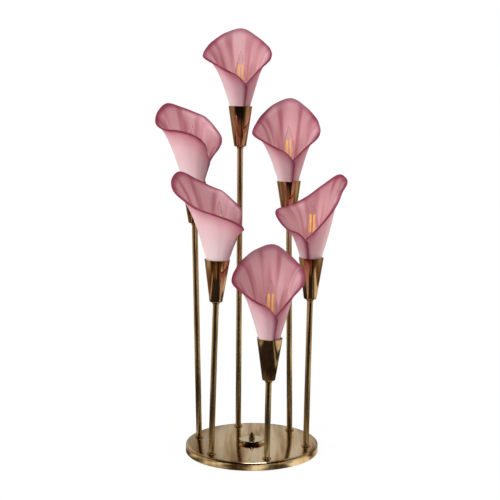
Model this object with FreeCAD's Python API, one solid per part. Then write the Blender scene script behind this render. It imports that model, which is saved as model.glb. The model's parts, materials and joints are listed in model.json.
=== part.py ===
import FreeCAD, Part
import math
import os
from collections import namedtuple

Vector = FreeCAD.Vector

# A table lamp: a round spun base carries six slender stems in a ring, each of another height. Each stem
# ends in a conical cup that holds a rolled glass flower, a candle lampholder and a bulb, and a dial knob
# stands at the centre of the base. Lengths are millimetres, angles are degrees. The origin is the
# centre of the base on the table, +Z is up, and the flowers open towards -Y.

# ---------------------------------------------------------------- base
BASE_R = 115.0            # radius of the spun base
BASE_TOP = 14.7           # its top face above the table
PAN_WALL = 1.5            # sheet of the spun pan
PAN_LIFT = 1.0            # gap between the skirt's edge and the table
SHOULDER_ROUND = 3.5      # rounding between the top face and the skirt
GROOVE_INSET = 5.0        # turned groove, from the skirt inwards
GROOVE_WIDTH = 0.8
GROOVE_DEPTH = 0.5
FELT_MARGIN = 6.0         # the felt stays this far inside the skirt
FELT_THICK = 1.5
COVER_MARGIN = 3.0        # the bottom cover, inside the skirt
COVER_THICK = 1.2
BALLAST_MARGIN = 7.0      # the cast weight, inside the skirt
BALLAST_THICK = 7.5
CAVITY_R = 34.0           # room for the dimmer in the middle of the weight
CHANNEL_WIDTH = 12.0      # way for the cord through the weight, at the back
COVER_SCREW_SETBACK = 45.0    # from the skirt in to the circle of cover screws
COVER_SCREWS = 3
COVER_SCREW_R = 2.0
COVER_SCREW_HEAD_R = 3.6
COVER_SCREW_BITE = 6.0    # depth of thread above the cover
COVER_HOLE_SPARE = 0.5    # the thread's hole runs on past the screw's point
COVER_BOSS_R = 5.0
CUT_CLEAR = 1.0           # cutters run past the faces that they cut

# ---------------------------------------------------------------- cord inlet at the back
INLET_Z = 7.0
INLET_BORE_R = 3.0
INLET_BODY_R = 4.1
INLET_FLANGE_R = 5.0
INLET_FLANGE_THICK = 1.2
INLET_DEPTH = 5.0         # how far the bushing reaches in from the skirt

# ---------------------------------------------------------------- stems
STEM_SETBACK = 18.5       # from the skirt in to the circle that the stems stand on
STEM_PHASE = -15.2        # direction of the first place, from +X
PLACES = 6
STEM_R = 5.0
STEM_WALL = 1.0
TAIL_R = 4.3              # threaded tail below the stem
TAIL_BORE_R = 2.75
TAIL_OVERLAP = 3.0        # how far the tail is brazed into the stem
TAIL_GAP = 0.8            # between the tail's end and the flex that bends under it
FOOT_COLLAR_R = 7.5
FOOT_COLLAR_THICK = 2.0
FOOT_NUT_FLATS = 14.0
FOOT_NUT_THICK = 3.0
FOOT_WASHER_R = 8.0
FOOT_WASHER_THICK = 1.0
FOOT_POCKET_R = 10.0      # counterbore in the weight for nut and washer
LEAD_R = 1.3              # twin flex in each stem
LEAD_GAP = 0.2            # between the flex and the bottom cover
LEAD_SHORT = 1.0          # the flex ends this far under the lampholder's terminals
HOLE_PLAY = 0.2           # radial play of a screw or tail in its hole
SLIDE_PLAY = 0.05         # radial play of a close fit

# ---------------------------------------------------------------- cups
CUP_RIM_R = 21.1
CUP_BOTTOM_R = 10.6
CUP_LENGTH = 71.0
CUP_WALL = 1.0
CUP_FLOOR = 2.0
CUP_BOTTOM_ROUND = 2.5
NECK_R = 6.0              # small collar between the stem and the cup
NECK_LENGTH = 3.5
NIPPLE_BORE_R = 2.4
NIPPLE_DROP = 14.0        # how far the nipple reaches down the stem
NIPPLE_SHORT = 0.5        # the nipple ends this far under the lampholder's terminals
CUP_NUT_FLATS = 12.0
CUP_NUT_THICK = 3.0
SEAT_THICK = 2.5          # fibre ring that the glass stands on
SEAT_BORE_R = 9.5
SEAT_GAP = 0.6            # the glass turns just above it

# ---------------------------------------------------------------- lampholders and bulbs
SOCKET_R = 9.0
SOCKET_FOOT_GAP = 4.0     # between the cup's nut and the lampholder
SOCKET_TOP = 14.0         # heights here are from the cup's rim
SOCKET_ROUND = 1.0
SOCKET_NIPPLE_DEPTH = 8.0
SOCKET_BORE_DEPTH = 18.0
CAP_R = 5.95              # small screw cap of the bulb
CAP_STANDOUT = 1.5        # cap above the lampholder
CAP_TAPER = 2.5           # height of the cap's tapered contact end
CAP_TIP_R = 3.0
BULB_R = 12.2
BULB_TOP = 98.0
BULB_WALL = 0.8
BULB_TIP_WALL = 1.6       # the glass at the tip, as a multiple of its wall
BULB_NECK_R = 6.4
MOUNT_R = 2.2             # glass stem inside the bulb
MOUNT_TOP = 42.0
MOUNT_FOOT = 4.0          # height of the stem's spread foot
MOUNT_DISC_R = 5.4
MOUNT_DISC_THICK = 0.8
FILAMENT_RING_R = 4.0
FILAMENT_R = 0.9
FILAMENT_LENGTH = 30.0
FILAMENTS = 4

# ---------------------------------------------------------------- glass flowers
GLASS_WALL = 2.8
GLASS_PLAY = 0.3          # between the glass and the cup
GLASS_INSERT = 22.0       # how far the glass goes into the cup
GLASS_SPIRAL = 3.7        # the roll narrows by this from its outer to its inner edge
GLASS_RISE = 2.0          # the funnel begins this far over the cup's rim
GLASS_STEP = 0.4          # and this much further out than the cup's cone
GLASS_FUNNEL = 17.0       # half angle of the funnel just above the cup
GLASS_RISE_PULL = 0.62    # how long the straight funnel leads the curve
GLASS_LIP_PULL = 0.16     # how far back the lip's flare is felt
GLASS_SHALLOW = 0.15      # the back petal stands this much steeper than the lip's reach says
GLASS_COLUMNS = 55        # stations round the roll
GLASS_ROWS = 10           # stations up the petal
# The lip, seen from above from the side that it opens to: angle round the flower, reach from the axis,
# height over the cup's rim, and lean of the wall there from the vertical.
LIP = [
    (-8, 24.5, 26, 17),
    (30, 33, 44, 25),
    (60, 54, 69.5, 72),
    (90, 56, 89.5, 92),
    (112, 56.5, 104.5, 88),
    (135, 64, 115.5, 78),
    (158, 73, 130, 61),
    (180, 81, 142, 50),
    (202, 80, 130.5, 58),
    (225, 74.5, 112, 72),
    (248, 68, 99, 83),
    (270, 68, 90, 90),
    (292, 70, 84.5, 91),
    (315, 64.5, 76, 85),
    (338, 54, 63.5, 60),
    (360, 34.5, 50, 25),
    (388, 29.5, 32, 17),
]
LIP_FREE_R = 26.0         # the hand shaping below begins at this reach
LIP_FULL_R = 51.0         # and is full at this one

# Each flower is shaped by hand, so each has its own numbers: the place in the ring, the height of the
# cup's rim over the table, the lean of the stem to +X, the turn of the glass, how much wider and
# taller its lip is, and how many millimetres the lip nods, tips, sags, twists and shifts.
Lily = namedtuple("Lily", "number place rim lean turn wider taller nod tip sag twist shift")
LILIES = [
    Lily(1, 2, 596.0, 0.46, -2.3, 0.958, 0.996, 0.5, -0.9, -1.3, 4.7, 0.1),
    Lily(2, 3, 467.0, -0.80, 47.5, 0.891, 0.985, 3.1, 1.6, -2.3, -4.7, 1.1),
    Lily(3, 4, 345.0, 2.00, 66.2, 1.092, 1.005, -0.8, 3.9, -2.8, 3.5, -11.2),
    Lily(4, 1, 465.5, -0.42, -7.3, 0.928, 0.999, -1.6, -1.8, 1.2, 4.1, 1.9),
    Lily(5, 0, 342.6, 1.22, -44.9, 0.905, 0.936, -7.4, 6.7, -2.7, -7.0, 0.3),
    Lily(6, 5, 219.0, 1.29, -4.1, 0.934, 1.085, 4.3, 0.9, -3.4, 5.0, 1.3),
]

# ---------------------------------------------------------------- dimmer, dial and knob at the centre
DIMMER_R = 15.0
DIMMER_CLEAR = 0.3        # above the bottom cover
DIMMER_FLOOR = 2.2        # under the shaft
SHAFT_END_PLAY = 0.5      # between the shaft and the dimmer's floor
KNOB_END_PLAY = 0.2       # between the shaft and the knob's bore
BUSHING_R = 3.5
DIAL_R = 22.0
DIAL_THICK = 3.0
DIAL_RAISE = 2.8          # gap under the dial
DIAL_ROUND = 0.8
SPACER_R = 12.0
SPACER_BORE_R = 8.0
DIAL_RECESS_R = 6.0
DIAL_RECESS_DEPTH = 1.8
DIMMER_NUT_R = 5.5
DIMMER_NUT_THICK = 1.5
SHAFT_R = 3.0
KNOB_GAP = 0.3            # between the knob and the dial
KNOB_R = 5.5
KNOB_HEIGHT = 11.5
KNOB_BORE_DEPTH = 5.5
GRUB_R = 1.2
GRUB_HEIGHT = 2.6         # over the knob's underside
GRUB_SINK = 0.3

# ---------------------------------------------------------------- worked out from the sizes above
STEM_RING_R = BASE_R - STEM_SETBACK
COVER_SCREW_RING = BASE_R - COVER_SCREW_SETBACK
PAN_UNDER = BASE_TOP - PAN_WALL
COVER_TOP = FELT_THICK + COVER_THICK
BALLAST_UNDER = PAN_UNDER - BALLAST_THICK
BALLAST_R = BASE_R - BALLAST_MARGIN
LEAD_Z = COVER_TOP + LEAD_GAP + LEAD_R
FOOT_TOP = BASE_TOP + FOOT_COLLAR_THICK
TAIL_END = LEAD_Z + LEAD_R + TAIL_GAP
NUT_UNDER = TAIL_END
NUT_TOP = NUT_UNDER + FOOT_NUT_THICK
WASHER_TOP = NUT_TOP + FOOT_WASHER_THICK
TAIL_HOLE_R = TAIL_R + HOLE_PLAY
NIPPLE_R = STEM_R - STEM_WALL - SLIDE_PLAY
NIPPLE_HOLE_R = NIPPLE_R + SLIDE_PLAY
CUP_SLOPE = (CUP_RIM_R - CUP_BOTTOM_R) / CUP_LENGTH
STEM_TOP = -CUP_LENGTH - NECK_LENGTH
CUP_NUT_UNDER = CUP_FLOOR - CUP_LENGTH
SOCKET_BOTTOM = CUP_NUT_UNDER + CUP_NUT_THICK + SOCKET_FOOT_GAP
TERMINALS = SOCKET_BOTTOM + SOCKET_NIPPLE_DEPTH
SOCKET_BORE_FLOOR = SOCKET_TOP - SOCKET_BORE_DEPTH
CAP_TOP = SOCKET_TOP + CAP_STANDOUT
DIMMER_UNDER = COVER_TOP + DIMMER_CLEAR
DIAL_UNDER = BASE_TOP + DIAL_RAISE
DIAL_TOP = DIAL_UNDER + DIAL_THICK
KNOB_UNDER = DIAL_TOP + KNOB_GAP


# ---------------------------------------------------------------- helpers
def lathe(outline):
    """Turns a closed outline of (radius, height) points round Z; a third value rounds that corner."""
    count = len(outline)
    runs = []
    for index, corner in enumerate(outline):
        here = Vector(corner[0], 0, corner[1])
        if len(corner) == 2:
            runs.append((here, here, None))
            continue
        before = outline[index - 1]
        after = outline[(index + 1) % count]
        back = (Vector(before[0], 0, before[1]) - here).normalize()
        ahead = (Vector(after[0], 0, after[1]) - here).normalize()
        half = back.getAngle(ahead) / 2
        reach = corner[2] / math.tan(half)
        middle = (back + ahead).normalize() * (corner[2] / math.sin(half) - corner[2])
        runs.append((here + back * reach, here + ahead * reach, here + middle))
    edges = []
    for index, (first, last, middle) in enumerate(runs):
        if middle is not None:
            edges.append(Part.Arc(first, middle, last).toShape())
        following = runs[(index + 1) % count][0]
        if last.distanceToPoint(following) > 1e-6:
            edges.append(Part.LineSegment(last, following).toShape())
    return turned_face(edges)


def turned_face(edges):
    """Closes the edges of an outline and turns the face round Z into a solid."""
    face = Part.Face(Part.Wire(Part.__sortEdges__(edges)))
    solid = face.revolve(Vector(), Vector(0, 0, 1), 360)
    return solid if solid.Volume > 0 else solid.reversed()


def rod(radius, low, high, bore=0.0):
    """A round rod or tube on Z between two heights."""
    solid = Part.makeCylinder(radius, high - low, Vector(0, 0, low))
    if bore:
        solid = solid.cut(Part.makeCylinder(bore, high - low + 2 * CUT_CLEAR, Vector(0, 0, low - CUT_CLEAR)))
    return solid


def hexagon(flats, low, high, bore):
    """A hexagonal nut on Z."""
    corner = flats / math.sqrt(3)
    points = [Vector(corner * math.cos(k * math.pi / 3), corner * math.sin(k * math.pi / 3), low)
              for k in range(7)]
    nut = Part.Face(Part.makePolygon(points)).extrude(Vector(0, 0, high - low))
    return nut.cut(rod(bore, low - CUT_CLEAR, high + CUT_CLEAR))


def moved(shape, x=0.0, y=0.0, z=0.0):
    copy = shape.copy()
    copy.translate(Vector(x, y, z))
    return copy


def spun(shape, angle, axis=(0, 0, 1)):
    copy = shape.copy()
    copy.rotate(Vector(), Vector(*axis), angle)
    return copy


def foot_of(lily):
    """Where the stem stands on the base's top face."""
    angle = math.radians(STEM_PHASE + lily.place * 360 / PLACES)
    return Vector(STEM_RING_R * math.cos(angle), STEM_RING_R * math.sin(angle), BASE_TOP)


def length_of(lily):
    """Distance along the stem's axis from the base's top face to the cup's rim."""
    return (lily.rim - BASE_TOP) / math.cos(math.radians(lily.lean))


def stand(shape, lily):
    """Takes a shape from the cup's own frame, origin at its rim, to its place on the lamp."""
    upright = moved(shape, z=length_of(lily))
    leaning = spun(upright, lily.lean, (0, 1, 0))
    foot = foot_of(lily)
    return moved(leaning, foot.x, foot.y, foot.z)


def at_foot(shape, lily):
    """Sets an upright shape, already at its height, over the stem's foot."""
    foot = foot_of(lily)
    return moved(shape, foot.x, foot.y)


# ---------------------------------------------------------------- base pieces
def base_pan():
    groove = BASE_R - GROOVE_INSET
    pan = lathe([
        (BASE_R, PAN_LIFT),
        (BASE_R, BASE_TOP, SHOULDER_ROUND),
        (groove + GROOVE_WIDTH / 2, BASE_TOP),
        (groove + GROOVE_WIDTH / 2, BASE_TOP - GROOVE_DEPTH),
        (groove - GROOVE_WIDTH / 2, BASE_TOP - GROOVE_DEPTH),
        (groove - GROOVE_WIDTH / 2, BASE_TOP),
        (BUSHING_R + HOLE_PLAY, BASE_TOP),
        (BUSHING_R + HOLE_PLAY, PAN_UNDER),
        (BASE_R - PAN_WALL, PAN_UNDER, SHOULDER_ROUND - PAN_WALL),
        (BASE_R - PAN_WALL, PAN_LIFT),
    ])
    for lily in LILIES:
        pan = pan.cut(at_foot(rod(TAIL_HOLE_R, PAN_UNDER - CUT_CLEAR, BASE_TOP + CUT_CLEAR), lily))
    return pan.cut(inlet_rod(INLET_BODY_R + SLIDE_PLAY, 2 * INLET_DEPTH, INLET_DEPTH))


def inlet_rod(radius, inwards, outwards):
    """A rod along Y through the skirt at the cord inlet."""
    return Part.makeCylinder(radius, inwards + outwards, Vector(0, BASE_R - inwards, INLET_Z), Vector(0, 1, 0))


def cord_inlet_bushing():
    bushing = inlet_rod(INLET_BODY_R, INLET_DEPTH, 0)
    bushing = bushing.fuse(inlet_rod(INLET_FLANGE_R, 0, INLET_FLANGE_THICK))
    bore = inlet_rod(INLET_BORE_R, INLET_DEPTH + CUT_CLEAR, INLET_FLANGE_THICK + CUT_CLEAR)
    return bushing.cut(bore).removeSplitter()


def cover_screw_places():
    first = STEM_PHASE + 180 / PLACES
    angles = [math.radians(first + k * 360 / COVER_SCREWS) for k in range(COVER_SCREWS)]
    return [(COVER_SCREW_RING * math.cos(a), COVER_SCREW_RING * math.sin(a)) for a in angles]


def ballast_weight():
    weight = rod(BALLAST_R, BALLAST_UNDER, PAN_UNDER, CAVITY_R)
    channel = Part.makeBox(CHANNEL_WIDTH, BASE_R, BALLAST_THICK + 2 * CUT_CLEAR,
                           Vector(-CHANNEL_WIDTH / 2, 0, BALLAST_UNDER - CUT_CLEAR))
    thread_end = COVER_TOP + COVER_SCREW_BITE + COVER_HOLE_SPARE
    weight = weight.cut(channel)
    for x, y in cover_screw_places():
        weight = weight.fuse(moved(rod(COVER_BOSS_R, COVER_TOP, BALLAST_UNDER + CUT_CLEAR), x, y))
        weight = weight.cut(moved(rod(COVER_SCREW_R + SLIDE_PLAY, COVER_TOP - CUT_CLEAR, thread_end), x, y))
    for lily in LILIES:
        weight = weight.cut(at_foot(rod(TAIL_HOLE_R, BALLAST_UNDER - CUT_CLEAR, PAN_UNDER + CUT_CLEAR), lily))
        weight = weight.cut(at_foot(rod(FOOT_POCKET_R, BALLAST_UNDER - CUT_CLEAR, WASHER_TOP), lily))
    return weight.removeSplitter()


def bottom_cover():
    cover = rod(BASE_R - COVER_MARGIN, FELT_THICK, COVER_TOP)
    for x, y in cover_screw_places():
        cover = cover.cut(moved(countersunk(SLIDE_PLAY), x, y))
    return cover


def countersunk(play):
    """A flat-headed screw, point up, with its head flush under the cover; play makes its hole."""
    return lathe([
        (0, FELT_THICK),
        (COVER_SCREW_HEAD_R + play, FELT_THICK),
        (COVER_SCREW_R + play, COVER_TOP),
        (COVER_SCREW_R + play, COVER_TOP + COVER_SCREW_BITE),
        (0, COVER_TOP + COVER_SCREW_BITE),
    ])


def cover_screws():
    return [moved(countersunk(0), x, y) for x, y in cover_screw_places()]


def felt_pad():
    return rod(BASE_R - FELT_MARGIN, 0, FELT_THICK)


# ---------------------------------------------------------------- dimmer, dial and knob
def dimmer_body():
    floor = DIMMER_UNDER + DIMMER_FLOOR
    return lathe([
        (0, DIMMER_UNDER),
        (DIMMER_R, DIMMER_UNDER),
        (DIMMER_R, PAN_UNDER),
        (BUSHING_R, PAN_UNDER),
        (BUSHING_R, DIAL_TOP - SLIDE_PLAY),
        (SHAFT_R + SLIDE_PLAY, DIAL_TOP - SLIDE_PLAY),
        (SHAFT_R + SLIDE_PLAY, floor),
        (0, floor),
    ])


def dimmer_shaft():
    low = DIMMER_UNDER + DIMMER_FLOOR + SHAFT_END_PLAY
    return rod(SHAFT_R, low, KNOB_UNDER + KNOB_BORE_DEPTH - KNOB_END_PLAY)


def dial_spacer():
    return rod(SPACER_R, BASE_TOP, DIAL_UNDER, SPACER_BORE_R)


def dial_plate():
    return lathe([
        (BUSHING_R + SLIDE_PLAY, DIAL_UNDER),
        (DIAL_R, DIAL_UNDER, DIAL_ROUND / 2),
        (DIAL_R, DIAL_TOP, DIAL_ROUND),
        (DIAL_RECESS_R, DIAL_TOP),
        (DIAL_RECESS_R, DIAL_TOP - DIAL_RECESS_DEPTH),
        (BUSHING_R + SLIDE_PLAY, DIAL_TOP - DIAL_RECESS_DEPTH),
    ])


def dimmer_nut():
    under = DIAL_TOP - DIAL_RECESS_DEPTH
    return rod(DIMMER_NUT_R, under, under + DIMMER_NUT_THICK, BUSHING_R + SLIDE_PLAY)


def grub(radius, start, end):
    """The set screw of the knob, or the hole for it, from the shaft outwards to the back."""
    height = KNOB_UNDER + GRUB_HEIGHT
    return Part.makeCylinder(radius, end - start, Vector(0, start, height), Vector(0, 1, 0))


def knob():
    """A small turned spire: a waisted foot, a full belly and a drawn-out point."""
    top = KNOB_UNDER + KNOB_HEIGHT
    side = Part.BSplineCurve()
    side.interpolate([
        Vector(KNOB_R * 0.80, 0, KNOB_UNDER),
        Vector(KNOB_R, 0, KNOB_UNDER + KNOB_HEIGHT * 0.22),
        Vector(KNOB_R * 0.86, 0, KNOB_UNDER + KNOB_HEIGHT * 0.48),
        Vector(KNOB_R * 0.44, 0, KNOB_UNDER + KNOB_HEIGHT * 0.74),
        Vector(KNOB_R * 0.14, 0, top),
    ])
    bore = SHAFT_R + SLIDE_PLAY
    floor = KNOB_UNDER + KNOB_BORE_DEPTH
    corners = [Vector(KNOB_R * 0.14, 0, top), Vector(0, 0, top), Vector(0, 0, floor), Vector(bore, 0, floor),
               Vector(bore, 0, KNOB_UNDER), Vector(KNOB_R * 0.80, 0, KNOB_UNDER)]
    edges = [side.toShape()]
    edges += [Part.LineSegment(a, b).toShape() for a, b in zip(corners, corners[1:])]
    return turned_face(edges).cut(grub(GRUB_R + SLIDE_PLAY, SHAFT_R, 2 * KNOB_R))


def knob_set_screw():
    return grub(GRUB_R, SHAFT_R + SLIDE_PLAY / 2, KNOB_R - GRUB_SINK)


# ---------------------------------------------------------------- stems and what holds them
def stem(lily):
    """A tube that leans a little, brazed to an upright threaded tail."""
    tube = stand(rod(STEM_R, -length_of(lily) - STEM_R, STEM_TOP, STEM_R - STEM_WALL), lily)
    side = 8 * STEM_R
    below = Part.makeBox(side, side, side, Vector(-side / 2, -side / 2, FOOT_TOP - side))
    tube = tube.cut(at_foot(below, lily))
    tail = at_foot(rod(TAIL_R, TAIL_END, FOOT_TOP + TAIL_OVERLAP, TAIL_BORE_R), lily)
    return tube.fuse(tail).removeSplitter()


def foot_collar():
    return lathe([
        (TAIL_HOLE_R, BASE_TOP),
        (FOOT_COLLAR_R, BASE_TOP),
        (FOOT_COLLAR_R, FOOT_TOP, FOOT_COLLAR_THICK / 3),
        (TAIL_HOLE_R, FOOT_TOP),
    ])


def foot_washer():
    return rod(FOOT_WASHER_R, NUT_TOP, WASHER_TOP, TAIL_HOLE_R)


def foot_nut():
    return hexagon(FOOT_NUT_FLATS, NUT_UNDER, NUT_TOP, TAIL_R + SLIDE_PLAY)


def lead(lily):
    """The flex of one flower: down the stem, then under the weight to the dimmer."""
    foot = foot_of(lily)
    drop = BASE_TOP - LEAD_Z
    bend = Vector(foot.x - drop * math.tan(math.radians(lily.lean)), foot.y, LEAD_Z)
    head = stand(Part.Vertex(0, 0, TERMINALS - LEAD_SHORT), lily).Point
    upright = Part.makeCylinder(LEAD_R, head.distanceToPoint(bend), bend, head - bend)
    inwards = Vector(-bend.x, -bend.y, 0)
    run = inwards.Length - DIMMER_R - SLIDE_PLAY
    level = Part.makeCylinder(LEAD_R, run, bend, inwards)
    return upright.fuse([level, Part.makeSphere(LEAD_R, bend)]).removeSplitter()


# ---------------------------------------------------------------- cups and lampholders, from the cup's rim
def cone_r(height):
    """Outer radius of the cup at a height under its rim."""
    return CUP_RIM_R + CUP_SLOPE * height


def cup():
    lip = CUP_WALL * 0.4
    return lathe([
        (NIPPLE_HOLE_R, -CUP_LENGTH),
        (CUP_BOTTOM_R, -CUP_LENGTH, CUP_BOTTOM_ROUND),
        (CUP_RIM_R, 0, lip),
        (CUP_RIM_R - CUP_WALL, 0, lip),
        (cone_r(CUP_NUT_UNDER) - CUP_WALL, CUP_NUT_UNDER, CUP_BOTTOM_ROUND / 2),
        (NIPPLE_HOLE_R, CUP_NUT_UNDER),
    ])


def neck_collar():
    return lathe([
        (NIPPLE_HOLE_R, STEM_TOP),
        (NECK_R, STEM_TOP, NECK_LENGTH / 5),
        (NECK_R, -CUP_LENGTH, NECK_LENGTH / 5),
        (NIPPLE_HOLE_R, -CUP_LENGTH),
    ])


def nipple():
    return rod(NIPPLE_R, STEM_TOP - NIPPLE_DROP, TERMINALS - NIPPLE_SHORT, NIPPLE_BORE_R)


def cup_nut():
    return hexagon(CUP_NUT_FLATS, CUP_NUT_UNDER, CUP_NUT_UNDER + CUP_NUT_THICK, NIPPLE_HOLE_R)


def seat_ring():
    top = -GLASS_INSERT - SEAT_GAP
    low = top - SEAT_THICK
    wall = CUP_WALL + SLIDE_PLAY
    return lathe([
        (SEAT_BORE_R, low),
        (cone_r(low) - wall, low),
        (cone_r(top) - wall, top),
        (SEAT_BORE_R, top),
    ])


def socket():
    return lathe([
        (NIPPLE_HOLE_R, SOCKET_BOTTOM),
        (SOCKET_R, SOCKET_BOTTOM, SOCKET_ROUND),
        (SOCKET_R, SOCKET_TOP, SOCKET_ROUND),
        (CAP_R + HOLE_PLAY, SOCKET_TOP),
        (CAP_R + HOLE_PLAY, SOCKET_BORE_FLOOR),
        (0, SOCKET_BORE_FLOOR),
        (0, TERMINALS),
        (NIPPLE_HOLE_R, TERMINALS),
    ])


def bulb_cap():
    low = SOCKET_BORE_FLOOR + SLIDE_PLAY
    return lathe([
        (0, low),
        (CAP_TIP_R, low),
        (CAP_R, low + CAP_TAPER),
        (CAP_R, CAP_TOP),
        (0, CAP_TOP),
    ])


def bulb_side(inset):
    """Side of the candle bulb, from its neck to the axis, moved in by inset."""
    height = BULB_TOP - CAP_TOP
    points = [
        (BULB_NECK_R, 0.0),
        (BULB_R * 0.66, height * 0.11),
        (BULB_R * 0.95, height * 0.26),
        (BULB_R, height * 0.38),
        (BULB_R * 0.85, height * 0.57),
        (BULB_R * 0.53, height * 0.76),
        (BULB_R * 0.22, height * 0.91),
        (inset, height - BULB_TIP_WALL * inset),
    ]
    side = Part.BSplineCurve()
    side.interpolate([Vector(r - inset, 0, CAP_TOP + h) for r, h in points])
    return side


def bulb_glass():
    outer = bulb_side(0.0)
    inner = bulb_side(BULB_WALL)
    ends = [(outer.StartPoint, inner.StartPoint), (outer.EndPoint, inner.EndPoint)]
    edges = [outer.toShape(), inner.toShape()] + [Part.LineSegment(a, b).toShape() for a, b in ends]
    return turned_face(edges)


def bulb_mount():
    return lathe([
        (0, CAP_TOP),
        (BULB_NECK_R - BULB_WALL - HOLE_PLAY, CAP_TOP),
        (MOUNT_R, CAP_TOP + MOUNT_FOOT),
        (MOUNT_R, MOUNT_TOP),
        (MOUNT_DISC_R, MOUNT_TOP),
        (MOUNT_DISC_R, MOUNT_TOP + MOUNT_DISC_THICK),
        (0, MOUNT_TOP + MOUNT_DISC_THICK),
    ])


def filaments():
    low = MOUNT_TOP + MOUNT_DISC_THICK
    strip = moved(rod(FILAMENT_R, low, low + FILAMENT_LENGTH), FILAMENT_RING_R)
    return [spun(strip, (k + 0.5) * 360 / FILAMENTS) for k in range(FILAMENTS)]


# ---------------------------------------------------------------- glass flowers
def along_lip(angle, column):
    """Smooth value of one column of the lip table at an angle."""
    angles = [row[0] for row in LIP]
    values = [row[column] for row in LIP]
    last = len(LIP) - 1
    place = min(max(sum(1 for a in angles[1:-1] if a <= angle), 0), last - 1)

    def slope(index):
        low, high = max(index - 1, 0), min(index + 1, last)
        return (values[high] - values[low]) / (angles[high] - angles[low])

    step = angles[place + 1] - angles[place]
    t = (angle - angles[place]) / step
    return ((2 * t**3 - 3 * t**2 + 1) * values[place] + (t**3 - 2 * t**2 + t) * step * slope(place)
            + (3 * t**2 - 2 * t**3) * values[place + 1] + (t**3 - t**2) * step * slope(place + 1))


def lip_point(lily, angle):
    """Reach and height of one flower's own lip at an angle."""
    reach = along_lip(angle, 1)
    freedom = min(max((reach - LIP_FREE_R) / (LIP_FULL_R - LIP_FREE_R), 0), 1)
    turn = math.radians(angle)
    funnel = CUP_RIM_R + GLASS_WALL
    height = along_lip(angle, 2) * lily.taller
    height += freedom * (lily.nod * math.cos(turn) + lily.tip * math.sin(turn)
                         + lily.sag * math.cos(2 * turn) + lily.twist * math.sin(2 * turn))
    reach = funnel + (reach - funnel) * lily.wider + freedom * lily.shift * math.sin(turn)
    return reach, height


def petal_line(lily, angle):
    """Middle of the glass at one angle: (radius, height) stations from its lower end to its lip."""
    rolled = (angle - LIP[0][0]) / (LIP[-1][0] - LIP[0][0])
    inset = CUP_WALL + GLASS_PLAY + GLASS_WALL / 2 + GLASS_SPIRAL * (1 - rolled)
    stations = [(cone_r(-GLASS_INSERT * part) - inset, -GLASS_INSERT * part) for part in (1, 0.5, 0.1)]
    foot = (cone_r(0) - inset + GLASS_STEP, GLASS_RISE)
    lip = lip_point(lily, angle)
    span = math.hypot(lip[0] - foot[0], lip[1] - foot[1])
    funnel = math.radians(GLASS_FUNNEL)
    flare = math.radians(along_lip(angle, 3))
    rise = GLASS_RISE_PULL * span
    fall = GLASS_LIP_PULL * span
    lower = (foot[0] + rise * math.sin(funnel), foot[1] + rise * math.cos(funnel))
    upper = (lip[0] - fall * math.sin(flare), lip[1] - fall * math.cos(flare))
    for row in range(GLASS_ROWS):
        t = row / (GLASS_ROWS - 1)
        weights = ((1 - t)**3, 3 * (1 - t)**2 * t, 3 * (1 - t) * t**2, t**3)
        knots = list(zip(weights, (foot, lower, upper, lip)))
        stations.append(tuple(sum(w * p[k] for w, p in knots) for k in (0, 1)))
    return stations


def petal_grid(lily):
    """The middle of the glass as columns of points, the opening towards -Y."""
    columns = []
    for index in range(GLASS_COLUMNS):
        angle = LIP[0][0] + (LIP[-1][0] - LIP[0][0]) * index / (GLASS_COLUMNS - 1)
        turn = math.radians(angle)
        line = petal_line(lily, angle)
        straight = len(line) - GLASS_ROWS
        column = []
        for row, (r, z) in enumerate(line):
            climb = max(row - straight, 0) / (GLASS_ROWS - 1)
            depth = -r * math.cos(turn)
            if depth > 0:
                depth *= 1 - GLASS_SHALLOW * climb
            column.append(Vector(r * math.sin(turn), depth, z))
        columns.append(column)
    return columns


def faced(grid, offset):
    """The grid moved along its own normals."""
    wide, tall = len(grid), len(grid[0])
    result = []
    for i in range(wide):
        column = []
        for j in range(tall):
            along = grid[min(i + 1, wide - 1)][j] - grid[max(i - 1, 0)][j]
            up = grid[i][min(j + 1, tall - 1)] - grid[i][max(j - 1, 0)]
            column.append(grid[i][j] + along.cross(up).normalize() * offset)
        result.append(column)
    return result


def shade(lily):
    """One sheet of glass rolled into a funnel, its outer edge lapped over its inner one."""
    grid = petal_grid(lily)
    skins = []
    for offset in (GLASS_WALL / 2, -GLASS_WALL / 2):
        skin = Part.BSplineSurface()
        skin.interpolate(faced(grid, offset))
        skins.append(skin)
    faces = [skin.toShape() for skin in skins]
    for side in range(4):
        pair = []
        for skin in skins:
            u0, u1, v0, v1 = skin.bounds()
            curve = (skin.uIso(u0), skin.uIso(u1), skin.vIso(v0), skin.vIso(v1))[side]
            pair.append(curve.toShape())
        faces.append(Part.makeRuledSurface(pair[0], pair[1]))
    shell = Part.Compound(faces)
    shell.sewShape()
    shell = shell.Shells[0] if shell.Shells else Part.Shell(shell.Faces)
    solid = Part.Solid(shell)
    if solid.Volume < 0:
        solid = solid.reversed()
    return stand(spun(solid, lily.turn), lily)


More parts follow.
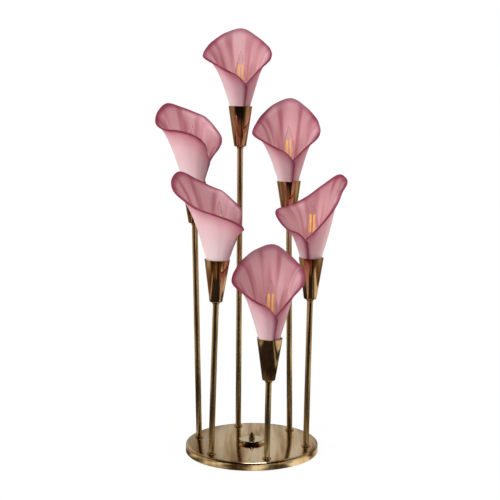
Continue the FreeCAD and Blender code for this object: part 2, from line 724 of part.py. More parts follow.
# ---------------------------------------------------------------- writing the pieces
def all_pieces():
    """Every node's name with its solid, or with its list of solids where the same piece repeats."""
    pieces = {
        "base_pan": base_pan(),
        "ballast_weight": ballast_weight(),
        "bottom_cover": bottom_cover(),
        "cover_screws": cover_screws(),
        "felt_pad": felt_pad(),
        "cord_inlet_bushing": cord_inlet_bushing(),
        "dimmer_body": dimmer_body(),
        "dimmer_shaft": dimmer_shaft(),
        "dimmer_nut": dimmer_nut(),
        "dial_spacer": dial_spacer(),
        "dial_plate": dial_plate(),
        "knob": knob(),
        "knob_set_screw": knob_set_screw(),
        "foot_collars": [at_foot(foot_collar(), lily) for lily in LILIES],
        "foot_washers": [at_foot(foot_washer(), lily) for lily in LILIES],
        "foot_nuts": [at_foot(foot_nut(), lily) for lily in LILIES],
        "stem_leads": [lead(lily) for lily in LILIES],
    }
    for name, make in (("neck_collars", neck_collar), ("cup_nipples", nipple), ("cup_nuts", cup_nut),
                       ("glass_seat_rings", seat_ring), ("bulb_caps", bulb_cap), ("bulb_mounts", bulb_mount)):
        pieces[name] = [stand(make(), lily) for lily in LILIES]
    pieces["bulb_filaments"] = [stand(strip, lily) for lily in LILIES for strip in filaments()]
    for lily in LILIES:
        pieces[f"stem_{lily.number}"] = stem(lily)
        pieces[f"cup_{lily.number}"] = stand(cup(), lily)
        pieces[f"socket_{lily.number}"] = stand(socket(), lily)
        pieces[f"bulb_glass_{lily.number}"] = stand(bulb_glass(), lily)
        pieces[f"shade_{lily.number}"] = shade(lily)
    return pieces


os.makedirs("parts", exist_ok=True)
for node, piece in all_pieces().items():
    shape = Part.Compound(piece) if isinstance(piece, list) else piece
    shape.exportStep(f"parts/{node}.step")
    solids = len(shape.Solids)
    print(f"{node}: {solids} solid(s), {shape.Volume / 1000:.2f} cm3, valid {shape.isValid()}")
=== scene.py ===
# %% [markdown]
# # A lamp of rolled glass lilies
#
# The lamp is a round brass base with six slender stems, a conical cup on each, and a rolled glass flower
# in each cup with a candle bulb inside. The construction was drawn first, at its real size, and this
# script dresses it. It loads that drawing, makes a finer mesh for what is seen, and gives each piece the
# finish of the real one. All lengths are metres.

# %% load the drawing
import json
import math

import bmesh
import bpy
from mathutils import Matrix, Vector


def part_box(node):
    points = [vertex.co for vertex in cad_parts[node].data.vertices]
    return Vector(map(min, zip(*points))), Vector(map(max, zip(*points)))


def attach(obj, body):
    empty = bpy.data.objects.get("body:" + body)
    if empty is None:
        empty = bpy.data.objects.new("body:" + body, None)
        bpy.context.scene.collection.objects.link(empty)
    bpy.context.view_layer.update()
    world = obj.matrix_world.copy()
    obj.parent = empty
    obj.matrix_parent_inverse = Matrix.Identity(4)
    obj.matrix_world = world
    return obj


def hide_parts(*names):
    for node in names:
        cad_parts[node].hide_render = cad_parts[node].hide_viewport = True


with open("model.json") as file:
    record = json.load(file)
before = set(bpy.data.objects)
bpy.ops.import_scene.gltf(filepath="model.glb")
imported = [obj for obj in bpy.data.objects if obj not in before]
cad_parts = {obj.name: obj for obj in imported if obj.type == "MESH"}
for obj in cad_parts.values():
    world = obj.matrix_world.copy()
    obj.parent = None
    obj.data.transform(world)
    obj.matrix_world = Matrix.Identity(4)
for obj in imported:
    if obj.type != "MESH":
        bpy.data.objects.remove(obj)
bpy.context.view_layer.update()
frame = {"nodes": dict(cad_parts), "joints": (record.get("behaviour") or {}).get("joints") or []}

MM = 0.001

# %% [markdown]
# ## Where things are
#
# Positions could be typed in again, but then they drift apart from the drawing. Here the swivel joints
# give each flower's axis, at its cup's rim, and the boxes of the drawn nodes give radii and heights.

# %% places read from the drawing
joints = {joint["name"]: joint for joint in frame["joints"]}
FLOWERS = [1, 2, 3, 4, 5, 6]


def axis_matrix(number):
    """Takes a shape from a cup's own frame, origin at its rim and +Z along the stem, to the lamp."""
    joint = joints[f"flower_{number}_swivel"]
    lean = Vector((0, 0, 1)).rotation_difference(Vector(joint["axis"]))
    return Matrix.Translation(joint["pos_m"]) @ lean.to_matrix().to_4x4()


PAN_LOW, PAN_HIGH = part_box("base_pan")
BASE_R = PAN_HIGH[0]
BASE_TOP = PAN_HIGH[2]
FOOT_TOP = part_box("foot_collars")[1][2]


def stem_length(number):
    """From the top of the foot collar to the cup's rim, along the stem."""
    joint = joints[f"flower_{number}_swivel"]
    return (joint["pos_m"][2] - FOOT_TOP) / joint["axis"][2]


for number in FLOWERS:
    print(f"flower {number}: rim at {axis_matrix(number).translation.z:.3f} m")

# %% [markdown]
# ## Sizes of the seen pieces
#
# The stems are drawn tube, the cups are spun cones, and the flowers are glass about 3 mm thick. These
# are the same sizes as in the drawing, so the finer meshes lie exactly on it.

# %% sizes
STEM_R = 5.0 * MM
STEM_WALL = 1.0 * MM
NIPPLE_HOLE_R = 4.0 * MM
CUP_RIM_R = 21.1 * MM
CUP_BOTTOM_R = 10.6 * MM
CUP_LENGTH = 71.0 * MM
CUP_WALL = 1.0 * MM
CUP_BOTTOM_WALL = 2.0 * MM
CUP_BOTTOM_ROUND = 2.5 * MM
NECK_R = 6.0 * MM
NECK_LENGTH = 3.5 * MM
GLASS_WALL = 2.8 * MM
GLASS_PLAY = 0.3 * MM
GLASS_INSERT = 22.0 * MM
GLASS_SPIRAL = 3.7 * MM
BULB_R = 12.2 * MM
CAP_TOP = 15.5 * MM
BULB_TOP = 98.0 * MM
DIAL_R = 22.0 * MM

# %% [markdown]
# ## Small tools
#
# A finished piece is a mesh whose place is in its points, so its object stays at the origin. One helper
# turns a bmesh into such an object and says which body carries it and which drawn nodes it replaces.

# %% tool: from a bmesh to a piece of the lamp
def finish_piece(bm, name, body, nodes, material, smooth=math.radians(32)):
    """Makes the object, shades it smooth except at sharp edges, and ties it to the lamp."""
    mesh = bpy.data.meshes.new(name)
    for face in bm.faces:
        face.smooth = True
    for edge in bm.edges:
        edge.smooth = not (len(edge.link_faces) == 2 and edge.calc_face_angle() > smooth)
    bm.to_mesh(mesh)
    bm.free()
    mesh.materials.append(material)
    piece = bpy.data.objects.new(name, mesh)
    bpy.context.scene.collection.objects.link(piece)
    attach(piece, body)
    if nodes:
        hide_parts(*nodes)
    print(f"{name}: {len(mesh.polygons)} faces")
    return piece


# %% [markdown]
# Most of the lamp is turned on a lathe or spun over a form, so one helper spins a profile round Z. A
# point of the profile may have a third number, and then its edge is rounded by that much with a bevel
# after the spin, as a turner would break an edge.

# %% tool: the lathe
def lathe(bm, profile, steps=64, place=None, closed=True, segments=3):
    """Spins (radius, height[, rounding]) points round Z, bevels the marked edges and places the result."""
    before = set(bm.verts)
    points = [bm.verts.new((corner[0], 0.0, corner[1])) for corner in profile]
    pairs = list(zip(points, points[1:]))
    if closed:
        pairs.append((points[-1], points[0]))
    wire = [bm.edges.new(pair) for pair in pairs]
    bmesh.ops.spin(bm, geom=points + wire, axis=(0, 0, 1), cent=(0, 0, 0), angle=math.tau, steps=steps,
                   use_merge=True, use_duplicate=False)
    made = [v for v in bm.verts if v not in before]
    bmesh.ops.remove_doubles(bm, verts=made, dist=1e-6)
    for corner in profile:
        if len(corner) == 3:
            made = [v for v in bm.verts if v not in before]
            ring = {v for v in made if abs(v.co.z - corner[1]) < 1e-6
                    and abs(math.hypot(v.co.x, v.co.y) - corner[0]) < 1e-6}
            rims = [e for e in bm.edges if e.verts[0] in ring and e.verts[1] in ring]
            bmesh.ops.bevel(bm, geom=rims, offset=corner[2], segments=segments, profile=0.5,
                            affect="EDGES", material=-1)
    made = [v for v in bm.verts if v not in before]
    faces = list({face for vert in made for face in vert.link_faces})
    bmesh.ops.recalc_face_normals(bm, faces=faces)
    if place is not None:
        bmesh.ops.transform(bm, matrix=place, verts=made)
    return made


# %% [markdown]
# ## Materials
#
# Colours are written as sRGB hex, as a colour picker gives them, and one function turns them to linear.
# One helper adds any node with its settings and links, so each material reads as a short list. A colour
# ramp's stops are one of its settings, and a Mix node's two colours are its inputs 6 and 7, output 2.

# %% tools: colour and node
def linear(code):
    """An sRGB hex colour as a linear RGBA."""
    parts = [int(code[k:k + 2], 16) / 255 for k in (1, 3, 5)]
    return [p / 12.92 if p <= 0.04045 else ((p + 0.055) / 1.055) ** 2.4 for p in parts] + [1.0]


def add(tree, kind, settings=None, **inputs):
    """Adds a shader node. An input is a value, a hex colour, or a (node, output) pair to link."""
    made = tree.nodes.new(kind)
    for key, value in (settings or {}).items():
        if key == "stops":
            elements = made.color_ramp.elements
            while len(elements) < len(value):
                elements.new(0.5)
            for element, (position, code) in zip(elements, value):
                element.position = position
                element.color = linear(code)
        elif key == "interpolation":
            made.color_ramp.interpolation = value
        else:
            setattr(made, key, value)
    for key, value in inputs.items():
        socket = made.inputs[int(key[1:])] if key[1:].isdigit() else made.inputs[key.replace("_", " ")]
        if isinstance(value, tuple) and isinstance(value[0], bpy.types.Node):
            tree.links.new(value[0].outputs[value[1]], socket)
        elif isinstance(value, str):
            socket.default_value = linear(value)
        else:
            socket.default_value = value
    return made


def begin(name, **sockets):
    """A new material with its main shader's own sockets set; gives the material, tree and shader."""
    material = bpy.data.materials.new(name)
    material.use_nodes = True
    tree = material.node_tree
    shader = tree.nodes["Principled BSDF"]
    for key, value in sockets.items():
        shader.inputs[key.replace("_", " ")].default_value = value
    return material, tree, shader


def join(tree, source, shader, socket):
    """Links one node's output to a socket of a shader."""
    tree.links.new(source[0].outputs[source[1]], shader.inputs[socket])


# %% [markdown]
# ### Polished brass
#
# The base, stems and cups are polished and lacquered brass: a warm metal with sharp reflections, very
# fine lines left by the polishing wheel, and slightly duller, browner patches where hands have been.
# The lines run along the tubes and round the turned pieces. Real ones are a few hundredths of a
# millimetre apart; they are drawn about ten times coarser so that they show at this distance. Pattern
# scales are in features per metre, so 28 is a patch every 36 mm and 1500 a line every 0.7 mm.
#
# The stems are drawn tube, duller and yellower. The cups are spun and polished brighter and redder. The
# dial is a paler brass, nearly cream, and its spire is polished a little darker.

# %% polished brass
def polished_brass(name, light, dark, line_scale, rough, relief=0.04):
    """line_scale is how often the polishing lines come along X, Y and Z, per metre."""
    patch_scale = 28.0
    material, tree, shader = begin(name, Metallic=1.0, Roughness=rough, Coat_Weight=0.15,
                                   Coat_Roughness=0.08)
    where = add(tree, "ShaderNodeTexCoord")
    patches = add(tree, "ShaderNodeTexNoise", Vector=(where, "Object"), Scale=patch_scale,
                  Detail=4.0)
    tint = add(tree, "ShaderNodeValToRGB", {"stops": [(0.30, dark), (0.72, light)]}, Fac=(patches, "Fac"))
    join(tree, (tint, "Color"), shader, "Base Color")
    stretched = add(tree, "ShaderNodeMapping", Vector=(where, "Object"), Scale=line_scale)
    lines = add(tree, "ShaderNodeTexNoise", Vector=(stretched, "Vector"), Scale=1.0, Detail=3.0)
    dulling = add(tree, "ShaderNodeMapRange", Value=(lines, "Fac"), From_Min=0.3, From_Max=0.8,
                  To_Min=rough * 0.7, To_Max=rough * 1.5)
    join(tree, (dulling, "Result"), shader, "Roughness")
    bump = add(tree, "ShaderNodeBump", Height=(lines, "Fac"), Strength=relief, Distance=0.00002)
    join(tree, (bump, "Normal"), shader, "Normal")
    return material


stem_brass = polished_brass("polished_brass_drawn", "#E0CFA6", "#C4A878", (60.0, 60.0, 3.0), 0.24,
                            relief=0.01)
spun_brass = polished_brass("polished_brass_spun", "#D6BC94", "#B08A64", (60.0, 60.0, 1500.0), 0.10)
pale_brass = polished_brass("pale_brass_turned", "#FFFAEC", "#F2E8CC", (60.0, 60.0, 1500.0), 0.15)
spire_brass = polished_brass("pale_brass_polished", "#E2D6A8", "#C4B27C", (60.0, 60.0, 1500.0), 0.12)
print("brasses:", stem_brass.name, spun_brass.name, pale_brass.name, spire_brass.name)

# %% [markdown]
# The top of the base was polished on a turntable, so its fine lines are circles about the centre. The
# distance from the axis drives the noise there. Long soft bands, some 20 mm wide and much longer from front
# to back, lighter and darker, are painted reflections, like the streaks that the stems leave in the polished
# top.

# %% brass of the base
def turntable_brass():
    """Brass with circular polishing lines and bands of painted reflection."""
    material, tree, shader = begin("polished_brass_turntable", Metallic=1.0, Roughness=0.08,
                                   Coat_Weight=0.15, Coat_Roughness=0.05)
    where = add(tree, "ShaderNodeTexCoord")
    flat = add(tree, "ShaderNodeMapping", Vector=(where, "Object"), Scale=(1.0, 1.0, 0.0))
    radius = add(tree, "ShaderNodeVectorMath", {"operation": "LENGTH"}, _0=(flat, "Vector"))
    rings = add(tree, "ShaderNodeTexNoise", {"noise_dimensions": "1D"}, W=(radius, "Value"),
                Scale=1400.0, Detail=3.0)
    # painted reflection: lighter and darker bands of the base colour, stretched from front to back
    reflection_streak_stretch = add(tree, "ShaderNodeMapping", Vector=(where, "Object"), Scale=(45.0, 5.0, 5.0))
    patches = add(tree, "ShaderNodeTexNoise", Vector=(reflection_streak_stretch, "Vector"), Scale=1.0, Detail=4.0)
    tint = add(tree, "ShaderNodeValToRGB", {"stops": [
        (0.38, "#B08A5E"), (0.50, "#EACEA4"), (0.62, "#FFEED6")]}, Fac=(patches, "Fac"))
    join(tree, (tint, "Color"), shader, "Base Color")
    dulling = add(tree, "ShaderNodeMapRange", Value=(rings, "Fac"), From_Min=0.3, From_Max=0.7,
                  To_Min=0.05, To_Max=0.13)
    join(tree, (dulling, "Result"), shader, "Roughness")
    bump = add(tree, "ShaderNodeBump", Height=(rings, "Fac"), Strength=0.06, Distance=0.00002)
    join(tree, (bump, "Normal"), shader, "Normal")
    return material


base_brass = turntable_brass()

# %% [markdown]
# ### Rose glass
#
# Each flower is a sheet of hand-rolled glass, rose outside and milky within, so it glows instead of
# showing what is behind it. The colour gathers at the cut lip, which is nearly wine red, and faint
# streaks run up the petal where the sheet was drawn out. The flower's own UV map carries this: U goes
# round the roll and V from the cup to the lip. One attribute tells the inner side from the outer one, and
# another gives each flower its own streaks. Outside, from the lap on round the side, the rose is deepened:
# partly a deeper tint, partly painted shade of the lap and of the side away from the light. Inside, a paler
# patch on the side petal is painted light falling in, and the dark rim is a little uneven.

# %% rose glass
def rose_glass():
    """Satin glass, rose outside and milky within, wine red at its edges."""
    material, tree, shader = begin("rose_glass_satin", IOR=1.5, Transmission_Weight=0.30,
                                   Subsurface_Weight=0.55, Subsurface_Scale=1.0,
                                   Subsurface_Radius=(0.006, 0.003, 0.0035),
                                   Coat_Weight=0.15, Coat_Roughness=0.2, Coat_IOR=1.5)
    mix = {"data_type": "RGBA", "blend_type": "MIX"}
    multiply = {"data_type": "RGBA", "blend_type": "MULTIPLY"}
    where = add(tree, "ShaderNodeTexCoord")
    apart = add(tree, "ShaderNodeSeparateXYZ", Vector=(where, "UV"))
    inner = add(tree, "ShaderNodeAttribute", {"attribute_name": "inner"})
    own = add(tree, "ShaderNodeAttribute", {"attribute_name": "flower"})
    # the two sides, from the cup to the lip
    outside = add(tree, "ShaderNodeValToRGB", {"stops": [
        (0.16, "#FBDDDF"), (0.50, "#F6CED3"), (0.76, "#E4A2B0"), (1.0, "#BC5C78")]}, Fac=(apart, "Y"))
    inside = add(tree, "ShaderNodeValToRGB", {"stops": [
        (0.25, "#F6D2D5"), (0.60, "#DCB2B6"), (0.84, "#CC9AA3"), (0.94, "#B9647A"), (1.0, "#943A56")]},
                 Fac=(apart, "Y"))
    sides = add(tree, "ShaderNodeMix", mix, _0=(inner, "Fac"), _6=(outside, "Color"), _7=(inside, "Color"))
    # streaks up the petal, about 22 round the roll, strong inside and faint outside
    drawn = add(tree, "ShaderNodeMapping", Vector=(where, "UV"), Scale=(22.0, 0.9, 1.0))
    streaks = add(tree, "ShaderNodeTexNoise", {"noise_dimensions": "4D"}, Vector=(drawn, "Vector"),
                  W=(own, "Fac"), Scale=1.0, Detail=1.5, Roughness=0.4)
    shade = add(tree, "ShaderNodeValToRGB", {"stops": [
        (0.34, "#C9788F"), (0.50, "#F6E8EA"), (0.70, "#F4F0EE")]}, Fac=(streaks, "Fac"))
    where_streaked = add(tree, "ShaderNodeMapRange", Value=(inner, "Fac"), To_Min=0.12, To_Max=0.85)
    streaked = add(tree, "ShaderNodeMix", multiply, _0=(where_streaked, "Result"), _6=(sides, 2),
                   _7=(shade, "Color"))
    # the rose deepened outside, from the lap round the side: partly deeper tint, partly painted shade
    lap_and_shade_ramp = add(tree, "ShaderNodeValToRGB", {"interpolation": "EASE", "stops": [
        (0.03, "#5A5A5A"), (0.08, "#D8D8D8"), (0.18, "#B8B8B8"), (0.30, "#808080"),
        (0.42, "#282828"), (0.55, "#000000")]}, Fac=(apart, "X"))
    outer = add(tree, "ShaderNodeMath", {"operation": "SUBTRACT"}, _0=1.0, _1=(inner, "Fac"))
    lap_and_shade_outside = add(tree, "ShaderNodeMath", {"operation": "MULTIPLY"}, _0=(outer, "Value"),
                          _1=(lap_and_shade_ramp, "Color"))
    deepened_and_shaded = add(tree, "ShaderNodeMix", mix, _0=(lap_and_shade_outside, "Value"), _6=(streaked, 2), _7="#A4485F")
    # painted light inside: a paler, brighter patch on the side petal, where light falling in brightens the
    # glass
    painted_glow_ramp = add(tree, "ShaderNodeValToRGB", {"interpolation": "EASE", "stops": [
        (0.17, "#000000"), (0.26, "#A0A0A0"), (0.32, "#909090"), (0.37, "#000000")]}, Fac=(apart, "X"))
    painted_glow_inside = add(tree, "ShaderNodeMath", {"operation": "MULTIPLY"}, _0=(inner, "Fac"),
                         _1=(painted_glow_ramp, "Color"))
    painted_glow_mixed = add(tree, "ShaderNodeMix", mix, _0=(painted_glow_inside, "Value"), _6=(deepened_and_shaded, 2), _7="#FFD2DC")
    # the dark rim, a little uneven, and the cut edge of the lap
    round_roll = add(tree, "ShaderNodeMapping", Vector=(where, "UV"), Scale=(9.0, 0.0, 1.0))
    wander = add(tree, "ShaderNodeTexNoise", {"noise_dimensions": "4D"}, Vector=(round_roll, "Vector"),
                 W=(own, "Fac"), Scale=1.0, Detail=1.0)
    uneven = add(tree, "ShaderNodeMapRange", Value=(wander, "Fac"), From_Min=0.3, From_Max=0.7,
                 To_Min=-0.02, To_Max=0.06)
    height = add(tree, "ShaderNodeMath", {"operation": "ADD"}, _0=(apart, "Y"), _1=(uneven, "Result"))
    lip = add(tree, "ShaderNodeMapRange", {"interpolation_type": "SMOOTHSTEP"}, Value=(height, "Value"),
              From_Min=0.85, From_Max=1.04)
    lap = add(tree, "ShaderNodeValToRGB", {"interpolation": "EASE", "stops": [
        (0.80, "#000000"), (0.94, "#A8A8A8"), (1.0, "#FFFFFF")]}, Fac=(apart, "X"))
    edge = add(tree, "ShaderNodeMath", {"operation": "MAXIMUM"}, _0=(lip, "Result"), _1=(lap, "Color"))
    rimmed = add(tree, "ShaderNodeMix", mix, _0=(edge, "Value"), _6=(painted_glow_mixed, 2), _7="#8A2448")
    join(tree, (rimmed, 2), shader, "Base Color")
    # a satin surface with a fine mist, 4 to 5 mm across, and a ripple along the streaks
    mist = add(tree, "ShaderNodeTexNoise", Vector=(where, "Object"), Scale=220.0, Detail=3.0)
    satin = add(tree, "ShaderNodeMapRange", Value=(mist, "Fac"), To_Min=0.36, To_Max=0.52)
    join(tree, (satin, "Result"), shader, "Roughness")
    rippled = add(tree, "ShaderNodeMapRange", Value=(inner, "Fac"), To_Min=0.02, To_Max=0.35)
    ripple = add(tree, "ShaderNodeBump", Height=(streaks, "Fac"), Strength=(rippled, "Result"),
                 Distance=0.0010)
    frost = add(tree, "ShaderNodeBump", Height=(mist, "Fac"), Normal=(ripple, "Normal"), Strength=0.12,
                Distance=0.0002)
    join(tree, (frost, "Normal"), shader, "Normal")
    return material


lily_glass = rose_glass()
print("glass:", lily_glass.name, "with", len(lily_glass.node_tree.nodes), "nodes")

# %% [markdown]
# ### The other finishes
#
# The bulbs are clear blown glass with yellow phosphor filaments. The lamp is off, but the filaments get a
# faint painted glow. The rest is inside or under the lamp:
# zinc-plated fasteners, cast iron, moulded plastic and wool felt. They still get a real finish, because
# the lamp is looked at from below and through its mouths. Zinc plating is a cool grey with a soft
# sparkle, nickel is warmer and brighter, painted iron is dull and pitted, ivory plastic has a low
# sheen, pressed fibre is a dry red-brown, and felt is dark and furry at its edges. Their grain is drawn
# 1 to 3 mm across, coarser than the real grain, so that it shows.

# %% other finishes
def speckled(name, light, dark, scale, bump, **sockets):
    """A material with a fine mottled colour and a matching small relief; scale is per metre."""
    material, tree, shader = begin(name, **sockets)
    where = add(tree, "ShaderNodeTexCoord")
    grain = add(tree, "ShaderNodeTexNoise", Vector=(where, "Object"), Scale=scale, Detail=4.0)
    tint = add(tree, "ShaderNodeValToRGB", {"stops": [(0.35, dark), (0.65, light)]}, Fac=(grain, "Fac"))
    join(tree, (tint, "Color"), shader, "Base Color")
    relief = add(tree, "ShaderNodeBump", Height=(grain, "Fac"), Strength=bump, Distance=0.0002)
    join(tree, (relief, "Normal"), shader, "Normal")
    return material


bulb_glass = speckled("clear_glass_blown", "#FFFFFF", "#F7F7F5", 60.0, 0.02, Roughness=0.02, IOR=1.45,
                      Transmission_Weight=1.0, Alpha=0.3)
# painted glow: the filaments' emission is not from a lit bulb; the lamp is off
phosphor_painted_glow = speckled("led_phosphor_cast", "#FFDC6A", "#F8BC3A", 900.0, 0.3, Roughness=0.55,
                    Emission_Color=linear("#FFB838"), Emission_Strength=0.4)
zinc = speckled("zinc_plated_steel", "#B9BCC0", "#8F9296", 700.0, 0.2, Metallic=1.0, Roughness=0.38)
nickel = speckled("nickel_plated_cap", "#D0CBC2", "#A9A49B", 400.0, 0.1, Metallic=1.0, Roughness=0.25)
iron = speckled("cast_iron_painted", "#3A3A3C", "#232325", 500.0, 0.6, Roughness=0.7)
ivory = speckled("ivory_plastic_moulded", "#DDD6C4", "#CFC7B4", 900.0, 0.1, Roughness=0.45)
sheath = speckled("lead_sheath_extruded", "#CFC8B6", "#BDB5A2", 700.0, 0.1, Roughness=0.5)
fibre = speckled("fibre_ring_pressed", "#7A5238", "#5E3C28", 900.0, 0.5, Roughness=0.8)
felt = speckled("wool_felt", "#24382C", "#16241C", 1600.0, 1.0, Roughness=0.95, Sheen_Weight=0.5)
dark_brass = speckled("dark_brass_turned", "#6E5638", "#4A3822", 300.0, 0.1, Metallic=1.0, Roughness=0.32)

# %% [markdown]
# ## The base
#
# The pan is spun from sheet over a round form: a flat top, a rounded shoulder and a short skirt, with a
# fine groove turned in the top near the edge. A spun profile gives all of it at once; the shoulder and
# the groove's lips are bevels of that profile.

# %% base pan
SHOULDER = 3.5 * MM
GROOVE_R = BASE_R - 5.0 * MM
GROOVE_WIDTH = 0.8 * MM
GROOVE_DEPTH = 0.5 * MM
PAN_WALL = 1.5 * MM
SKIRT_LOW = PAN_LOW[2]

bm = bmesh.new()
lathe(bm, [
    (BASE_R - PAN_WALL, SKIRT_LOW),
    (BASE_R, SKIRT_LOW, 0.4 * MM),
    (BASE_R, BASE_TOP, SHOULDER),
    (GROOVE_R + GROOVE_WIDTH / 2, BASE_TOP, 0.15 * MM),
    (GROOVE_R + GROOVE_WIDTH / 2, BASE_TOP - GROOVE_DEPTH),
    (GROOVE_R - GROOVE_WIDTH / 2, BASE_TOP - GROOVE_DEPTH),
    (GROOVE_R - GROOVE_WIDTH / 2, BASE_TOP, 0.15 * MM),
    (BASE_R / 2, BASE_TOP),
    (0.0, BASE_TOP),
    (0.0, BASE_TOP - PAN_WALL),
    (BASE_R - PAN_WALL, BASE_TOP - PAN_WALL),
], steps=160, closed=True, segments=6)
finish_piece(bm, "base_pan_spun", "root", ["base_pan"], base_brass)

# %% [markdown]
# The felt under the base is a cut disc, slightly soft at its edge.

# %% felt pad
felt_low, felt_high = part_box("felt_pad")
bm = bmesh.new()
lathe(bm, [
    (0.0, felt_low[2]),
    (felt_high[0], felt_low[2], 0.3 * MM),
    (felt_high[0], felt_high[2], 0.5 * MM),
    (0.0, felt_high[2]),
], steps=128, closed=False)
finish_piece(bm, "felt_pad_cut", "root", ["felt_pad"], felt)

# %% [markdown]
# At the back a small brass bushing lets the cord in. It is drawn upright and laid down along Y.

# %% cord inlet
INLET_BORE_R = 3.0 * MM
INLET_BODY_R = 4.1 * MM
INLET_FLANGE = 1.2 * MM
inlet_low, inlet_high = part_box("cord_inlet_bushing")
inlet_z = (inlet_low[2] + inlet_high[2]) / 2
flange_r = (inlet_high[0] - inlet_low[0]) / 2
laid = Matrix.Translation((0, inlet_high[1], inlet_z)) @ Matrix.Rotation(-math.pi / 2, 4, "X")
depth = inlet_high[1] - inlet_low[1]
bm = bmesh.new()
lathe(bm, [
    (INLET_BORE_R, -depth),
    (INLET_BODY_R, -depth),
    (INLET_BODY_R, -INLET_FLANGE),
    (flange_r, -INLET_FLANGE, 0.2 * MM),
    (flange_r, 0.0, 0.5 * MM),
    (INLET_BORE_R, 0.0, 0.4 * MM),
], steps=48, place=laid)
finish_piece(bm, "cord_inlet_turned", "root", ["cord_inlet_bushing"], spun_brass)

# %% [markdown]
# ## Dial and knob
#
# At the centre a pale brass disc floats over the base on a darker spacer, and a small spire turns on it.
# The disc is slightly dished with a rolled edge; the spire is a drawn-out turned point on a waisted foot.

# %% dial
DIAL_HOLE_R = 3.55 * MM
DIAL_RECESS_R = 6.0 * MM
DIAL_RECESS_DEPTH = 1.8 * MM
dial_low, dial_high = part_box("dial_plate")
bm = bmesh.new()
lathe(bm, [
    (DIAL_HOLE_R, dial_low[2]),
    (DIAL_R - 6.0 * MM, dial_low[2], 2.0 * MM),
    (DIAL_R, dial_high[2] - 1.0 * MM, 0.4 * MM),
    (DIAL_R, dial_high[2], 0.45 * MM),
    (DIAL_R - 1.2 * MM, dial_high[2], 0.3 * MM),
    (DIAL_R - 2.4 * MM, dial_high[2] - 0.5 * MM, 0.5 * MM),
    (DIAL_RECESS_R, dial_high[2] - 0.4 * MM),
    (DIAL_RECESS_R, dial_high[2] - DIAL_RECESS_DEPTH),
    (DIAL_HOLE_R, dial_high[2] - DIAL_RECESS_DEPTH),
], steps=96)
finish_piece(bm, "dial_plate_turned", "root", ["dial_plate"], pale_brass)

# %% spacer under the dial
SPACER_BORE_R = 8.0 * MM
spacer_low, spacer_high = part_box("dial_spacer")
bm = bmesh.new()
lathe(bm, [
    (SPACER_BORE_R, spacer_low[2]),
    (spacer_high[0], spacer_low[2], 0.2 * MM),
    (spacer_high[0], spacer_high[2]),
    (SPACER_BORE_R, spacer_high[2]),
], steps=64)
finish_piece(bm, "dial_spacer_turned", "root", ["dial_spacer"], dark_brass)

# %% knob
KNOB_BORE_R = 3.05 * MM
KNOB_BORE_DEPTH = 5.5 * MM
knob_low, knob_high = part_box("knob")
knob_r = knob_high[0]
tall = knob_high[2] - knob_low[2]
bm = bmesh.new()
lathe(bm, [
    (KNOB_BORE_R, knob_low[2]),
    (knob_r * 0.80, knob_low[2], 0.2 * MM),
    (knob_r * 0.93, knob_low[2] + tall * 0.10),
    (knob_r * 0.998, knob_low[2] + tall * 0.22),
    (knob_r * 0.97, knob_low[2] + tall * 0.36),
    (knob_r * 0.86, knob_low[2] + tall * 0.48),
    (knob_r * 0.66, knob_low[2] + tall * 0.61),
    (knob_r * 0.44, knob_low[2] + tall * 0.74),
    (knob_r * 0.25, knob_low[2] + tall * 0.88),
    (knob_r * 0.14, knob_low[2] + tall, 0.2 * MM),
    (0.0, knob_low[2] + tall),
    (0.0, knob_low[2] + KNOB_BORE_DEPTH),
    (KNOB_BORE_R, knob_low[2] + KNOB_BORE_DEPTH),
], steps=48)
finish_piece(bm, "knob_spire", "dimmer_knob", ["knob"], spire_brass)

# %% [markdown]
# ## Stems and cups
#
# Each stem is a straight tube that leans a little, so it is spun in its cup's frame and then placed with
# the flower's axis. The tube is cut level at its foot collar: its lowest ring is pushed down to the
# collar's top after it is placed, which is what a file does on the bench.

# %% stems
for number in FLOWERS:
    place = axis_matrix(number)
    low = -stem_length(number)
    high = -CUP_LENGTH - NECK_LENGTH
    bm = bmesh.new()
    lathe(bm, [
        (STEM_R - STEM_WALL, low),
        (STEM_R, low),
        (STEM_R, low * 0.6 + high * 0.4),
        (STEM_R, high, 0.25 * MM),
        (STEM_R - STEM_WALL, high),
    ], steps=48, place=place)
    foot = place @ Vector((0, 0, low))
    for vert in bm.verts:
        if (vert.co - foot).length < 2 * STEM_R and abs(vert.co.z - FOOT_TOP) < STEM_R / 4:
            vert.co.z = FOOT_TOP
    finish_piece(bm, f"stem_{number}_drawn", "root", [f"stem_{number}"], stem_brass)

# %% collars at the feet
COLLAR_R = 7.5 * MM
COLLAR_BORE_R = 4.5 * MM
bm = bmesh.new()
for number in FLOWERS:
    foot = axis_matrix(number) @ Vector((0, 0, -stem_length(number)))
    lathe(bm, [
        (COLLAR_BORE_R, BASE_TOP),
        (COLLAR_R, BASE_TOP),
        (COLLAR_R, FOOT_TOP, 0.6 * MM),
        (COLLAR_BORE_R, FOOT_TOP),
    ], steps=48, place=Matrix.Translation((foot.x, foot.y, 0)))
finish_piece(bm, "foot_collars_turned", "root", ["foot_collars"], spun_brass)

# %% collars under the cups
bm = bmesh.new()
for number in FLOWERS:
    lathe(bm, [
        (NIPPLE_HOLE_R, -CUP_LENGTH - NECK_LENGTH),
        (NECK_R, -CUP_LENGTH - NECK_LENGTH, 0.7 * MM),
        (NECK_R, -CUP_LENGTH, 0.7 * MM),
        (NIPPLE_HOLE_R, -CUP_LENGTH),
    ], steps=48, place=axis_matrix(number))
finish_piece(bm, "neck_collars_turned", "root", ["neck_collars"], spun_brass)

# %% [markdown]
# The cups are long straight cones with a rounded foot and a thin rim.

